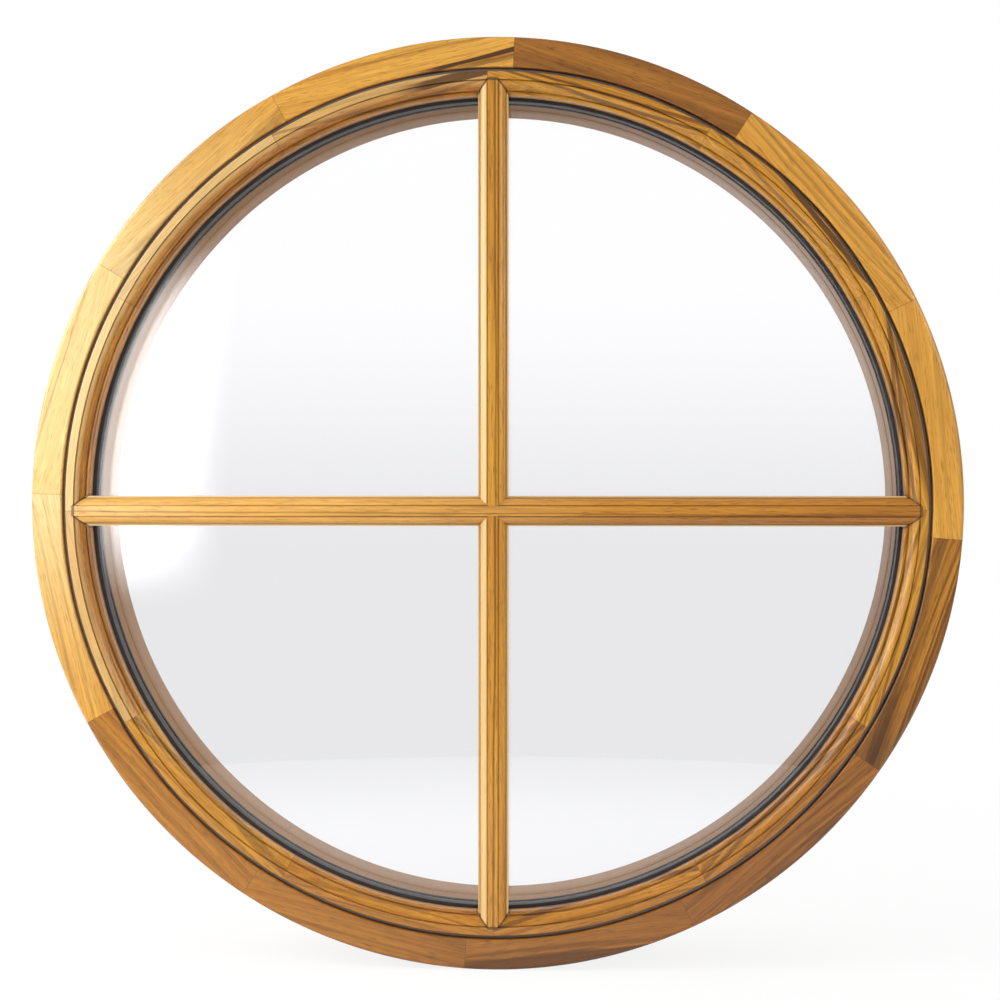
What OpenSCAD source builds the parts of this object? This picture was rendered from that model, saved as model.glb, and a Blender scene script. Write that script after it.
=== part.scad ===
// Round window for a wall opening: a segmented wood frame with a glazed sash fixed in it.
// Both rings are glued up from short curved segments. The sash holds one round sealed glass unit,
// with a cross of moulded glazing bars bonded to its front.
// The window stands upright with its axis along Y and its front towards -Y. The origin lies on the
// axis, halfway through the frame's depth.

/* [Frame] */
// Outside diameter of the frame
frame_d = 610; // [520:5:760]
// Depth of the frame, from its front face to its rear face
frame_depth = 88; // [82:1:110]
// Width of the frame's front face
frame_face = 20; // [16:0.5:26]
// Radius of the round on the frame's outer front edge
frame_round = 3; // [1.5:0.5:5]
// Radius of the eased edges on the rest of the woodwork
edge_ease = 1; // [0.5:0.1:1.5]
// How far the rear stop's opening stands back from the sash's sight line
stop_set_back = 0.3; // [0.1:0.1:3]
// Turn of the frame's glue joints, clockwise from the top
frame_joint_turn = 3; // [0:1:8]

/* [Sash] */
// Gap between the frame and the sash
sash_gap = 2.6; // [2:0.1:4]
// Depth of the sash, from its front face to its rear face
sash_depth = 57; // [54:0.5:62]
// Width of the flat around the sash's front face
sash_flat = 5.3; // [4:0.1:8]
// Depth of the quirk, the small step beside each flat
quirk = 1.2; // [0.8:0.1:1.8]
// Width of the grooves that set off the ovolo on both sides
groove_w = 0.7; // [0.4:0.1:1]
// Depth of those grooves below what lies beside them
groove_cut = 0.8; // [0.4:0.1:1.2]
// Radius of the ovolo, the convex moulding on the sash
ovolo_r = 6; // [5:0.1:7.5]
// Step from the foot of the ovolo down to the fillet
fillet_step = 0.8; // [0.4:0.1:1.4]
// Width of the fillet between the ovolo and the sight line
fillet_w = 2.7; // [2:0.1:4]
// Thickness of the sash's lip in front of the glass
sash_lip = 17; // [15.5:0.5:19]
// How far the rebate for the glass reaches outside the sight line
rebate_w = 7; // [6:0.1:8]
// Turn of the sash's glue joints, clockwise from the top
sash_joint_turn = -0.7; // [-2:0.1:8]

/* [Glass] */
// Thickness of each pane
pane_t = 4; // [3:0.5:5]
// Width of the cavity between the panes
cavity_w = 12; // [8:1:14]
// Room around the glass unit's edge
glass_room = 1.4; // [1:0.1:2]
// Radial width of the spacer
spacer_w = 4; // [3:0.1:4.5]
// How far the spacer reaches inside the sight line
spacer_show = 0; // [0:0.1:2]
// Thickness of the glazing gaskets on both sides of the glass
gasket_t = 3; // [2:0.1:4]
// How far the front gasket's lip reaches inside the sight line
gasket_lip = 1.5; // [0.8:0.1:4]
// How far the front gasket's slope climbs the sash's inner wall
gasket_rise = 1.2; // [0.5:0.1:1.5]
// Height of the front gasket's lip at its inner edge
gasket_edge = 0.8; // [0.4:0.1:1.2]
// Length of each setting block under the glass unit
block_l = 40; // [25:1:60]

/* [Seals] */
// Depth of the perimeter seal's nose behind the front face
seal_set = 4; // [2:0.5:8]
// Radius of the rounds on the seal's nose
seal_round = 0.7; // [0.3:0.1:0.7]
// Height of the perimeter seal along the gap
seal_h = 6; // [5:0.5:9]
// Thickness of the seal's barb
barb_t = 2; // [1.5:0.1:2.5]
// Length of the seal's barb
barb_l = 4; // [3:0.1:6]
// Thickness of the bedding seal between the sash and the rear stop
bedding_t = 3; // [2:0.1:4]
// Radial width of the bedding seal
bedding_w = 13; // [9:0.5:13.5]

/* [Bars] */
// How far the horizontal bar's middle lies below the window's centre
bar_drop = 4.4; // [0:0.1:12]
// Width of the flat along the front of each bar
bar_flat = 6.5; // [5:0.1:9]
// Radius of the ovolo along both sides of that flat
bar_ovolo_r = 5; // [4:0.1:6]
// Width of the fillet outside each of those ovolos
bar_fillet_w = 1.6; // [1.2:0.1:2.4]
// How far the bars' flats stand back from the sash's flat
bar_set_back = 0.3; // [0.1:0.1:0.6]
// Thickness of the bonding tape between the bars and the glass
tape_t = 0.5; // [0.3:0.1:1]
// Margin from the bonding tape to each side of its bar
tape_margin = 2; // [1:0.5:4]
// Diameter of the dowels at the bar ends
end_dowel_d = 4; // [3:0.5:4.5]
// How far an end dowel reaches into its bar and into the sash
end_dowel_reach = 10; // [6:0.5:12]
// Diameter of the dowel through the crossing
cross_dowel_d = 6; // [4:0.5:8]
// How far the crossing dowel reaches into each half of the vertical bar
cross_dowel_reach = 15; // [10:1:25]

/* [Joinery] */
// Thickness of the tongues in the frame's joints
frame_tongue_t = 4; // [3:0.5:6]
// Width of those tongues across the joint
frame_tongue_w = 24; // [16:1:32]
// Distance from those tongues to the frame's front and rear faces
frame_tongue_inset = 12; // [10:1:20]
// Thickness of the tongues in the sash's joints
sash_tongue_t = 3; // [2:0.1:3.4]
// Width of those tongues across the joint
sash_tongue_w = 16; // [10:1:24]
// Distance from those tongues to the sash's lip and rear face
sash_tongue_inset = 5; // [3:0.5:10]
// Diameter of the pins that hold the glazing beads
pin_d = 1.4; // [1:0.1:2]
// How far a bead pin enters the sash
pin_reach = 4; // [3:0.1:5]
// Depth of a bead pin's head below the bead's surface
pin_set = 0.5; // [0.2:0.1:1]
// Shank diameter of the screws through the rear stop
screw_d = 4; // [3:0.5:4.5]
// Head diameter of those screws
screw_head_d = 8; // [7:0.5:9]
// Length of those screws
screw_l = 50; // [40:1:60]
// Diameter of the wood plugs over the screw heads
plug_d = 10; // [9.5:0.5:12]
// Depth of the plugs
plug_l = 8; // [5:0.5:10]

/* [Clearances] */
// Clearance around loose tongues, dowels, pins and screws in their holes
joinery_gap = 0.1; // [0.05:0.01:0.2]
// Clearance between a coped bar end and what it fits over
cope_gap = 0.1; // [0.05:0.01:0.2]
// Clearance around seals, gaskets, beads and blocks in their seats
seat_gap = 0.2; // [0.1:0.01:0.3]

/* [Hidden] */
$fn = 180;
RING_SEGMENTS = 12;
BEAD_COUNT = 4;
PINS_PER_BEAD = RING_SEGMENTS / BEAD_COUNT;
SCREW_COUNT = 6;
SCREW_STEP = RING_SEGMENTS / SCREW_COUNT;
segment_turn = 360 / RING_SEGMENTS;
bead_turn = 360 / BEAD_COUNT;
// The boards weren't cut to quite the same length: how far each joint lies clockwise of an even spacing
FRAME_SHIFTS = [-0.3, 0.5, 1.1, 1.3, 1.5, 1.5, 0.5, -0.3, -1.3, -1.7, -1.6, -1.4];
SASH_SHIFTS = [0, 0.8, 1.2, 1.4, 1.4, 1.2, 0.6, 0.2, 0, -0.2, -0.4, -0.2];
// Angles at which the bars end, counter-clockwise from the right
BAR_ENDS = [0, 90, 180, 270];
// Angles of the setting blocks, on either side of the lowest point
BLOCK_ANGLES = [240, 300];
// Cutters run past the faces that they cut by this much
past = 2;

// Radii, from the outside in
frame_r = frame_d / 2;
frame_in_r = frame_r - frame_face;
frame_mid_r = frame_r - frame_face / 2;
sash_r = frame_in_r - sash_gap;
flat_r = sash_r - sash_flat;
ovolo_foot_r = flat_r - ovolo_r;
sight_r = ovolo_foot_r - fillet_w;
rebate_r = sight_r + rebate_w;
cheek_mid_r = (rebate_r + sash_r) / 2;
stop_r = sight_r + stop_set_back;
glass_r = rebate_r - glass_room;
spacer_r = sight_r - spacer_show;
sealant_r = spacer_r + spacer_w;
lip_r = sight_r - gasket_lip;
seal_out_r = sash_r - seat_gap;
seal_in_r = seal_out_r - bedding_w;

// Depths behind the front face
ovolo_foot = quirk + ovolo_r;
fillet_level = ovolo_foot + fillet_step;
glass_front = sash_lip + gasket_t;
front_pane_back = glass_front + pane_t;
rear_pane_front = front_pane_back + cavity_w;
glass_back = rear_pane_front + pane_t;
bead_front = glass_back + gasket_t;
stop_front = sash_depth + bedding_t;
dowel_level = (fillet_level + sash_lip - gasket_rise) / 2;
bar_back = glass_front - tape_t;
cross_dowel_level = (ovolo_foot + bar_back) / 2;
bead_mid = (bead_front + sash_depth) / 2;
screw_head_level = frame_depth - plug_l;
screw_tip_level = screw_head_level - screw_l;
screw_tip_l = screw_d;
barb_level = seal_set + seal_h / 2;

// Bars
bar_w = bar_flat + 2 * bar_ovolo_r + 2 * bar_fillet_w;
bar_ovolo_foot = quirk + bar_ovolo_r;
bar_fillet_level = bar_ovolo_foot + fillet_step;
bar_blank_l = (flat_r + sash_r) / 2;

GOLDEN = "#cf9540";
HONEY = "#dba752";
RUSSET = "#a86c33";
PALE = "#e6bd6c";
REVEAL_WOOD = "#a88c68";
FRAME_TONES = [RUSSET, HONEY, GOLDEN, RUSSET, GOLDEN, GOLDEN, RUSSET, GOLDEN, PALE, PALE, HONEY, GOLDEN];
SASH_TONES = [GOLDEN, HONEY, GOLDEN, HONEY, GOLDEN, GOLDEN, GOLDEN, HONEY, GOLDEN, RUSSET, RUSSET, GOLDEN];

function numbered(name, i) = str(name, "_", i < 10 ? "0" : "", i);
function even_joint(turn, i) = 90 - turn - segment_turn * i;
function frame_joint(i) = even_joint(frame_joint_turn, i) - FRAME_SHIFTS[i % RING_SEGMENTS];
function sash_joint(i) = even_joint(sash_joint_turn, i) - SASH_SHIFTS[i % RING_SEGMENTS];
function screw_angle(k) = even_joint(sash_joint_turn, 1 + k * SCREW_STEP) + segment_turn / 2;
function bead_start(b) = even_joint(sash_joint_turn, 2) + bead_turn * (b - 1);

// Sections and solids below lie flat, with the front face at height 0 and the rear below it.
// This stands them upright, facing -Y.
module stand() {
    rotate([90, 0, 0])
        translate([0, 0, frame_depth / 2])
            children();
}

// Rectangle of a section, between two radii and two depths
module band(inner, outer, front, back) {
    translate([inner, -back])
        square([outer - inner, back - front]);
}

// Waste of a rounded corner at the origin, on material that lies towards -x and -y
module corner_waste(r) {
    difference() {
        translate([-r, -r])
            square(r + past);
        translate([-r, -r])
            circle(r);
    }
}

// Waste of the four ways that a section's corner can face
module front_outer_waste(radius, depth, r) {
    translate([radius, -depth])
        corner_waste(r);
}

module front_inner_waste(radius, depth, r) {
    translate([radius, -depth])
        rotate(90)
            corner_waste(r);
}

module rear_inner_waste(radius, depth, r) {
    translate([radius, -depth])
        rotate(180)
            corner_waste(r);
}

module rear_outer_waste(radius, depth, r) {
    translate([radius, -depth])
        rotate(270)
            corner_waste(r);
}

// Arc of a ring from a section, starting at an angle counter-clockwise from the right
module arc(start, turn) {
    rotate(start)
        rotate_extrude(angle = turn)
            children();
}

// Upright rod that runs through the ring's depth at a radius and an angle
module rod(radius, angle, d, front, back) {
    rotate(angle)
        translate([radius, 0, -back])
            cylinder(d = d, h = back - front);
}

// Rod that points along a radius, at a depth
module radial_rod(angle, depth, d, inner, outer) {
    rotate(angle)
        translate([inner, 0, -depth])
            rotate([0, 90, 0])
                cylinder(d = d, h = outer - inner);
}

// Loose tongue across a joint: its thickness lies along the radius
module tongue(radius, angle, t, w, front, back) {
    rotate(angle)
        translate([radius - t / 2, -w / 2, -back])
            cube([t, w, back - front]);
}

// Frame section: a plain wall with a deep stop behind the sash, and a kerf for the seal's barb
module frame_section() {
    difference() {
        union() {
            band(frame_in_r, frame_r, 0, frame_depth);
            band(stop_r, frame_r, stop_front, frame_depth);
        }
        front_outer_waste(frame_r, 0, frame_round);
        front_inner_waste(frame_in_r, 0, edge_ease);
        rear_outer_waste(frame_r, frame_depth, edge_ease);
        rear_inner_waste(stop_r, frame_depth, edge_ease);
        band(frame_in_r - past, frame_in_r + barb_l + seat_gap, barb_level - barb_t / 2 - joinery_gap,
            barb_level + barb_t / 2 + joinery_gap);
    }
}

// Quarter round of an ovolo, with its foot at x = -r and its top beside the quirk at x = 0
module ovolo(r, grow = 0) {
    intersection() {
        translate([0, -quirk - r])
            circle(r + grow);
        translate([-r - grow, -quirk - r])
            square(r + grow);
    }
}

// Front part of the sash section: flat, quirk, ovolo, fillet and lip
module sash_moulding() {
    difference() {
        union() {
            band(flat_r, sash_r, 0, sash_lip);
            translate([flat_r, 0])
                ovolo(ovolo_r);
            band(ovolo_foot_r, flat_r, ovolo_foot, sash_lip);
            band(sight_r, flat_r, fillet_level, sash_lip);
        }
        front_outer_waste(sash_r, 0, edge_ease);
        front_inner_waste(sight_r, fillet_level, edge_ease);
    }
}

// Sash section: the moulding, and a cheek around the rebate for the glass unit
module sash_section() {
    difference() {
        sash_moulding();
        band(flat_r - groove_w, flat_r, 0, quirk + groove_cut);
        band(ovolo_foot_r - groove_w, ovolo_foot_r, ovolo_foot, fillet_level + groove_cut);
    }
    band(rebate_r, sash_r, sash_lip, sash_depth);
}

// Room that the sash's moulding and the front gasket take up where a bar ends
module cope_section() {
    translate([-cope_gap, cope_gap])
        sash_moulding();
    band(lip_r - cope_gap, sash_r, sash_lip - gasket_rise - cope_gap, glass_front + past);
}

// Section across a bar: width along x, height along y
module bar_section(grow = 0) {
    half_flat = bar_flat / 2;
    half_round = half_flat + bar_ovolo_r;
    band(-half_flat - grow, half_flat + grow, bar_set_back - grow, bar_back);
    translate([-half_flat, 0])
        ovolo(bar_ovolo_r, grow);
    translate([half_flat, 0])
        mirror([1, 0])
            ovolo(bar_ovolo_r, grow);
    band(-half_round - grow, half_round + grow, bar_ovolo_foot, bar_back);
    band(-bar_w / 2 - grow, bar_w / 2 + grow, bar_fillet_level - grow, bar_back);
}

// The bars' moulding, with a groove on both sides of each ovolo
module bar_moulding() {
    half_flat = bar_flat / 2;
    half_round = half_flat + bar_ovolo_r;
    difference() {
        bar_section();
        band(half_flat, half_flat + groove_w, 0, quirk + groove_cut);
        band(-half_flat - groove_w, -half_flat, 0, quirk + groove_cut);
        band(half_round, half_round + groove_w, bar_ovolo_foot, bar_fillet_level + groove_cut);
        band(-half_round - groove_w, -half_round, bar_ovolo_foot, bar_fillet_level + groove_cut);
    }
}

// Length of a bar section, laid from the centre towards an angle
module bar_run(angle, from, to) {
    rotate([90, 0, angle + 90])
        translate([0, 0, from])
            linear_extrude(to - from)
                children();
}

module frame_tongue(i, gap = 0) {
    tongue(frame_mid_r, frame_joint(i), frame_tongue_t + 2 * gap, frame_tongue_w + 2 * gap,
        frame_tongue_inset - gap, frame_depth - frame_tongue_inset + gap);
}

module sash_tongue(i, gap = 0) {
    tongue(cheek_mid_r, sash_joint(i), sash_tongue_t + 2 * gap, sash_tongue_w + 2 * gap,
        sash_lip + sash_tongue_inset - gap, sash_depth - sash_tongue_inset + gap);
}

module sash_screw(i) {
    translate([0, 0, -screw_head_level])
        rotate(screw_angle(i))
            translate([cheek_mid_r, 0, 0]) {
                cylinder(d1 = screw_head_d, d2 = screw_d, h = (screw_head_d - screw_d) / 2);
                cylinder(d = screw_d, h = screw_l - screw_tip_l);
                translate([0, 0, screw_l - screw_tip_l])
                    cylinder(d1 = screw_d, d2 = 0, h = screw_tip_l);
            }
}

// Drilled hole for a screw, with its countersink and the plug's counterbore
module screw_hole(i) {
    rod(cheek_mid_r, screw_angle(i), screw_d + 2 * joinery_gap, screw_tip_level - joinery_gap,
        frame_depth);
    rod(cheek_mid_r, screw_angle(i), plug_d + 2 * joinery_gap, screw_head_level, frame_depth + past);
    rotate(screw_angle(i))
        translate([cheek_mid_r, 0, -screw_head_level])
            cylinder(d1 = screw_head_d + 2 * joinery_gap, d2 = screw_d + 2 * joinery_gap,
                h = (screw_head_d - screw_d) / 2);
}

// Lowers what belongs to the horizontal bar to that bar's level
module bar_level() {
    translate([0, -bar_drop, 0])
        children();
}

module end_dowel(angle, gap = 0) {
    drop = angle % 180 == 0 ? bar_drop : 0;
    translate([0, -drop, 0])
        radial_rod(angle, dowel_level, end_dowel_d + 2 * gap, sight_r - end_dowel_reach - gap,
            sight_r + end_dowel_reach + gap);
}

module cross_dowel(gap = 0) {
    half_l = bar_w / 2 + cross_dowel_reach + gap;
    bar_level()
        radial_rod(90, cross_dowel_level, cross_dowel_d + 2 * gap, -half_l, half_l);
}

// Pins lie along radii, one to each sash segment, clear of its tongues and its screw
module bead_pin(b, k, gap = 0) {
    angle = bead_start(b) + segment_turn * (k - 2 / 3);
    head = gap > 0 ? sight_r - past : sight_r + pin_set;
    radial_rod(angle, bead_mid, pin_d + 2 * gap, head, rebate_r + pin_reach + gap);
}

// Frame segments, numbered clockwise from the top
module frame_segment(i) {
    color(FRAME_TONES[i - 1])
        stand()
            difference() {
                arc(frame_joint(i), frame_joint(i - 1) - frame_joint(i))
                    frame_section();
                frame_tongue(i - 1, joinery_gap);
                frame_tongue(i, joinery_gap);
                for (k = [0:SCREW_COUNT - 1])
                    if (i == 1 + k * SCREW_STEP)
                        screw_hole(k);
            }
}

// Sash segments, numbered clockwise from the top
module sash_segment(i) {
    color(SASH_TONES[i - 1])
        stand()
            difference() {
                arc(sash_joint(i), sash_joint(i - 1) - sash_joint(i))
                    sash_section();
                sash_tongue(i - 1, joinery_gap);
                sash_tongue(i, joinery_gap);
                for (k = [0:SCREW_COUNT - 1])
                    screw_hole(k);
                for (angle = BAR_ENDS)
                    end_dowel(angle, joinery_gap);
                for (b = [1:BEAD_COUNT], k = [1:PINS_PER_BEAD])
                    bead_pin(b, k, joinery_gap);
            }
}

// Beads, numbered counter-clockwise from the top, jointed between the bars
module glazing_bead(i) {
    color(REVEAL_WOOD)
        stand()
            difference() {
                arc(bead_start(i), bead_turn)
                    difference() {
                        band(sight_r, rebate_r - seat_gap, bead_front, sash_depth);
                        rear_inner_waste(sight_r, sash_depth, edge_ease);
                    }
                for (k = [1:PINS_PER_BEAD])
                    bead_pin(i, k, joinery_gap);
            }
}

module frame_tongues() {
    color(PALE)
        stand()
            for (i = [1:RING_SEGMENTS])
                frame_tongue(i);
}

module sash_tongues() {
    color(PALE)
        stand()
            for (i = [1:RING_SEGMENTS])
                sash_tongue(i);
}

// Seal in the gap: a rounded nose in front, and a barb pressed into the frame's kerf
module perimeter_seal() {
    inner = sash_r + seat_gap;
    outer = frame_in_r - seat_gap;
    color("#3a3836")
        stand()
            rotate_extrude() {
                difference() {
                    band(inner, outer, seal_set, seal_set + seal_h);
                    front_outer_waste(outer, seal_set, seal_round);
                    front_inner_waste(inner, seal_set, seal_round);
                }
                band(sash_r + sash_gap / 2, frame_in_r + barb_l, barb_level - barb_t / 2,
                    barb_level + barb_t / 2);
            }
}

module bedding_seal() {
    color("#2b2b2b")
        stand()
            difference() {
                rotate_extrude()
                    band(seal_in_r, seal_out_r, sash_depth, stop_front);
                for (k = [0:SCREW_COUNT - 1])
                    screw_hole(k);
            }
}

// Front gasket: a flat flange under the sash's lip, and a slope from the wall down to its lip edge
module front_gasket() {
    wall_r = sight_r - seat_gap;
    color("#1d1e20")
        stand()
            rotate_extrude()
                polygon([
                    [rebate_r - seat_gap, -sash_lip],
                    [wall_r, -sash_lip],
                    [wall_r, -sash_lip + gasket_rise],
                    [lip_r, -glass_front + gasket_edge],
                    [lip_r, -glass_front],
                    [rebate_r - seat_gap, -glass_front]
                ]);
}

module rear_gasket() {
    color("#1d1e20")
        stand()
            rotate_extrude()
                band(sight_r, rebate_r - seat_gap, glass_back, bead_front);
}

module pane(front) {
    color("#e8eef0", 0.35)
        stand()
            translate([0, 0, -front - pane_t])
                cylinder(r = glass_r, h = pane_t);
}

module front_pane() {
    pane(glass_front);
}

module rear_pane() {
    pane(rear_pane_front);
}

module spacer() {
    color("#18181a")
        stand()
            rotate_extrude()
                band(spacer_r, sealant_r, front_pane_back, rear_pane_front);
}

module edge_sealant() {
    color("#242426")
        stand()
            rotate_extrude()
                band(sealant_r, glass_r, front_pane_back, rear_pane_front);
}

// Two blocks under the glass unit, on either side of its lowest point
module setting_blocks() {
    block_turn = block_l / rebate_r * 180 / PI;
    color("#3d3d40")
        stand()
            for (angle = BLOCK_ANGLES)
                arc(angle - block_turn / 2, block_turn)
                    band(glass_r + seat_gap, rebate_r - seat_gap, glass_front, glass_back);
}

module bead_pins() {
    color("#8f9194")
        stand()
            for (b = [1:BEAD_COUNT], k = [1:PINS_PER_BEAD])
                bead_pin(b, k);
}

module sash_screws() {
    color("#a9abae")
        stand()
            for (k = [0:SCREW_COUNT - 1])
                sash_screw(k);
}

module screw_plugs() {
    color(HONEY)
        stand()
            for (k = [0:SCREW_COUNT - 1])
                rod(cheek_mid_r, screw_angle(k), plug_d, screw_head_level + joinery_gap, frame_depth);
}

// The horizontal bar runs through; its ends are coped over the sash's moulding
module horizontal_bar() {
    color(GOLDEN)
        stand()
            difference() {
                bar_level()
                    bar_run(0, -bar_blank_l, bar_blank_l)
                        bar_moulding();
                rotate_extrude()
                    cope_section();
                for (angle = BAR_ENDS)
                    end_dowel(angle, joinery_gap);
                cross_dowel(joinery_gap);
            }
}

// Half of the vertical bar: coped over the sash at one end and over the horizontal bar at the other
module vertical_half(angle, from) {
    color(HONEY)
        stand()
            difference() {
                bar_run(angle, from, bar_blank_l)
                    bar_moulding();
                rotate_extrude()
                    cope_section();
                bar_level()
                    bar_run(0, -bar_w, bar_w)
                        bar_section(cope_gap);
                end_dowel(angle, joinery_gap);
                cross_dowel(joinery_gap);
            }
}

module vertical_bar_upper() {
    vertical_half(90, -bar_drop);
}

module vertical_bar_lower() {
    vertical_half(270, bar_drop);
}

module tape_section(w) {
    band(-w / 2, w / 2, bar_back, glass_front);
}

// Bonding tape under each bar, stopped short of the gasket and of the crossing
module bar_tapes() {
    tape_w = bar_w - 2 * tape_margin;
    tape_start = bar_w / 2 + tape_margin;
    tape_end = lip_r - tape_margin;
    color("#303032")
        stand() {
            bar_level()
                bar_run(0, -tape_end, tape_end)
                    tape_section(tape_w);
            bar_run(90, tape_start - bar_drop, tape_end)
                tape_section(tape_w);
            bar_run(270, tape_start + bar_drop, tape_end)
                tape_section(tape_w);
        }
}

module end_dowels() {
    color(PALE)
        stand()
            for (angle = BAR_ENDS)
                end_dowel(angle);
}

module crossing_dowel() {
    color(PALE)
        stand()
            cross_dowel();
}

for (i = [1:RING_SEGMENTS]) frame_segment(i);
for (i = [1:RING_SEGMENTS]) sash_segment(i);
for (i = [1:BEAD_COUNT]) glazing_bead(i);
frame_tongues();
sash_tongues();
perimeter_seal();
bedding_seal();
front_gasket();
front_pane();
spacer();
edge_sealant();
rear_pane();
rear_gasket();
setting_blocks();
bead_pins();
sash_screws();
screw_plugs();
horizontal_bar();
vertical_bar_upper();
vertical_bar_lower();
bar_tapes();
end_dowels();
crossing_dowel();
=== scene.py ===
"""Looks of a round window: teak segments with their own grain, a sealed glass unit, rubber and steel.

The window stands as packed, in metres, with its axis along Y, its front towards -Y and +Z up.
"""
import math
from collections import namedtuple

import bpy
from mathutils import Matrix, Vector


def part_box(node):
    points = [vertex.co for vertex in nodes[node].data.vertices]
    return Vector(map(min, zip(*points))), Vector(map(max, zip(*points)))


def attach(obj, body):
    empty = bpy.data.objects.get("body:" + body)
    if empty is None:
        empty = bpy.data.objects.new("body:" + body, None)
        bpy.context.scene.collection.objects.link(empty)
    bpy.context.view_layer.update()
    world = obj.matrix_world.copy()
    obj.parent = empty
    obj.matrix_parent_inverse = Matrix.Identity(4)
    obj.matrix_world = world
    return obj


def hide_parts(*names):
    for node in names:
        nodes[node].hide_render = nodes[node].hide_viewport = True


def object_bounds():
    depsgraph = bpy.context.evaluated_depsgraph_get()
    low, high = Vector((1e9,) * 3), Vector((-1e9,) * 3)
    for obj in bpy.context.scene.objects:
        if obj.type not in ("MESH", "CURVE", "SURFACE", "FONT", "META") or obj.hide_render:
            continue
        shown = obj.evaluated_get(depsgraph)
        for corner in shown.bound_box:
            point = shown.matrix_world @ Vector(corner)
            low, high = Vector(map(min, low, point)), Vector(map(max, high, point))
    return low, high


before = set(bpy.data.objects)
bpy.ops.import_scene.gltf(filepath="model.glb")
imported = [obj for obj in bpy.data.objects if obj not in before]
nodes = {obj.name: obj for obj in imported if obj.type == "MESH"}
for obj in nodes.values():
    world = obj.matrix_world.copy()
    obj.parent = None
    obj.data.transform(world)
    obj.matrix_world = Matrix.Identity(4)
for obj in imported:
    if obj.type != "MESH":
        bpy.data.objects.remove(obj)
cad_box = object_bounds()

MM = 0.001
PER_MM = 1 / MM
WHITE = (1.0, 1.0, 1.0, 1.0)
SEGMENTS = 12
SEGMENT_TURN = 360 / SEGMENTS
BEADS = 4
BEAD_TURN = 360 / BEADS
BEAD_FIRST_TURN = -45
SCREW_COUNT = 6
PIN_COUNT = 12

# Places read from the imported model
FRONT = cad_box[0][1]
BOTTOM = cad_box[0][2]
FRAME_R = cad_box[1][0]
GLASS_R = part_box("front_pane")[1][0]
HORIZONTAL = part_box("horizontal_bar")
BAR_MIDDLE = (HORIZONTAL[0][2] + HORIZONTAL[1][2]) / 2
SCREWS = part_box("sash_screws")
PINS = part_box("bead_pins")

# Middle of each ring's front face, and the radius within which wood is the bare reveal behind the glass
FRAME_FACE = 20 * MM
FRAME_MIDDLE = FRAME_R - FRAME_FACE / 2
SASH_PAST_GLASS = 2 * MM
SASH_MIDDLE = GLASS_R + SASH_PAST_GLASS
REVEAL_INSIDE_GLASS = 3 * MM
REVEAL_R = GLASS_R - REVEAL_INSIDE_GLASS
# A bar's half width and its end, scribed to the sash, in mm: the radius of its tip, half of its flat, and
# how far its line runs in along the bar for each mm beyond the flat
BAR_HALF = 9.85
TIP_R = 277.1
TIP_HALF = 3.25
SCRIBE_SLOPE = 1.2
# Each bar's middle line: the direction across it, and its distance from the window's axis in mm
ACROSS_HORIZONTAL = ((0.0, 0.0, PER_MM), BAR_MIDDLE * PER_MM)
ACROSS_VERTICAL = ((PER_MM, 0.0, 0.0), 0.0)

# Turn of each glue joint, clockwise from the top, in degrees
FRAME_JOINT_TURN = 3.0
FRAME_SHIFTS = (-0.3, 0.5, 1.1, 1.3, 1.5, 1.5, 0.5, -0.3, -1.3, -1.7, -1.6, -1.4)
SASH_JOINT_TURN = -0.7
SASH_SHIFTS = (0, 0.8, 1.2, 1.4, 1.4, 1.2, 0.6, 0.2, 0, -0.2, -0.4, -0.2)


def joint_turns(first, shifts):
    """Clockwise turn of every joint of a ring, the first one again at the end."""
    turns = [first + SEGMENT_TURN * index + shift for index, shift in enumerate(shifts)]
    return turns + [turns[0] + 360]


def linear(hex_colour):
    """Linear colour of an sRGB hex value."""
    channels = [int(hex_colour[i:i + 2], 16) / 255 for i in (1, 3, 5)]
    return [c / 12.92 if c <= 0.04045 else ((c + 0.055) / 1.055) ** 2.4 for c in channels] + [1.0]


def add(tree, kind, links=None, **settings):
    """Add a node: settings are its properties, links feed its inputs with values or other nodes' outputs."""
    node = tree.nodes.new(kind)
    for name, value in settings.items():
        setattr(node, name, value)
    for key, value in (links or {}).items():
        if isinstance(value, bpy.types.NodeSocket):
            tree.links.new(value, node.inputs[key])
        else:
            node.inputs[key].default_value = value
    return node


def new_material(name):
    """An empty node material with its tree and its output."""
    material = bpy.data.materials.new(name)
    material.use_nodes = True
    tree = material.node_tree
    tree.nodes.clear()
    output = tree.nodes.new("ShaderNodeOutputMaterial")
    return material, tree, output


def dress(node_name, material):
    """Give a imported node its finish."""
    mesh = nodes[node_name].data
    mesh.materials.clear()
    mesh.materials.append(material)


# Teak, planed and oiled: ring-porous heartwood with dark late-wood lines, fine open pores and dark
# mineral streaks. Each tone is its early wood, its middle colour and its late wood.
TONES = {
    # The pale and straw tones are painted sheen: they stand only on the boards at the left and the left end
    # of the level bar
    "pale": ("#eacb88", "#dfbb70", "#b98a45"),
    "straw": ("#e6b662", "#d9a04a", "#ab7226"),
    "honey": ("#dca445", "#cb8d31", "#8f5a18"),
    "golden": ("#d09632", "#bc7e25", "#7a4810"),
    "amber": ("#bf822c", "#a66a20", "#683b0d"),
    "russet": ("#a66d29", "#915a1f", "#60350f"),
    "brown": ("#8f5f28", "#764b1c", "#45270b"),
}
HEART = linear("#482a16")
# Dark glue in the joints; the same colour is painted contact shadow around the bars' scribed ends
GLUE_AND_SHADOW_TONE = linear("#5b3a1c")
# Pale colours of painted light: painted sheen on the faces of some boards, about a millimetre deep, and
# painted light along the bars' edges
PAINTED_PALE_TONES = (linear("#f2d698"), linear("#e0b96c"))
PAINTED_SHEEN_DEPTH = 1.2 * MM
# Bare teak behind the glass: not oiled, so paler and duller
BARE = (linear("#c28844"), linear("#986528"))

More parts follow.
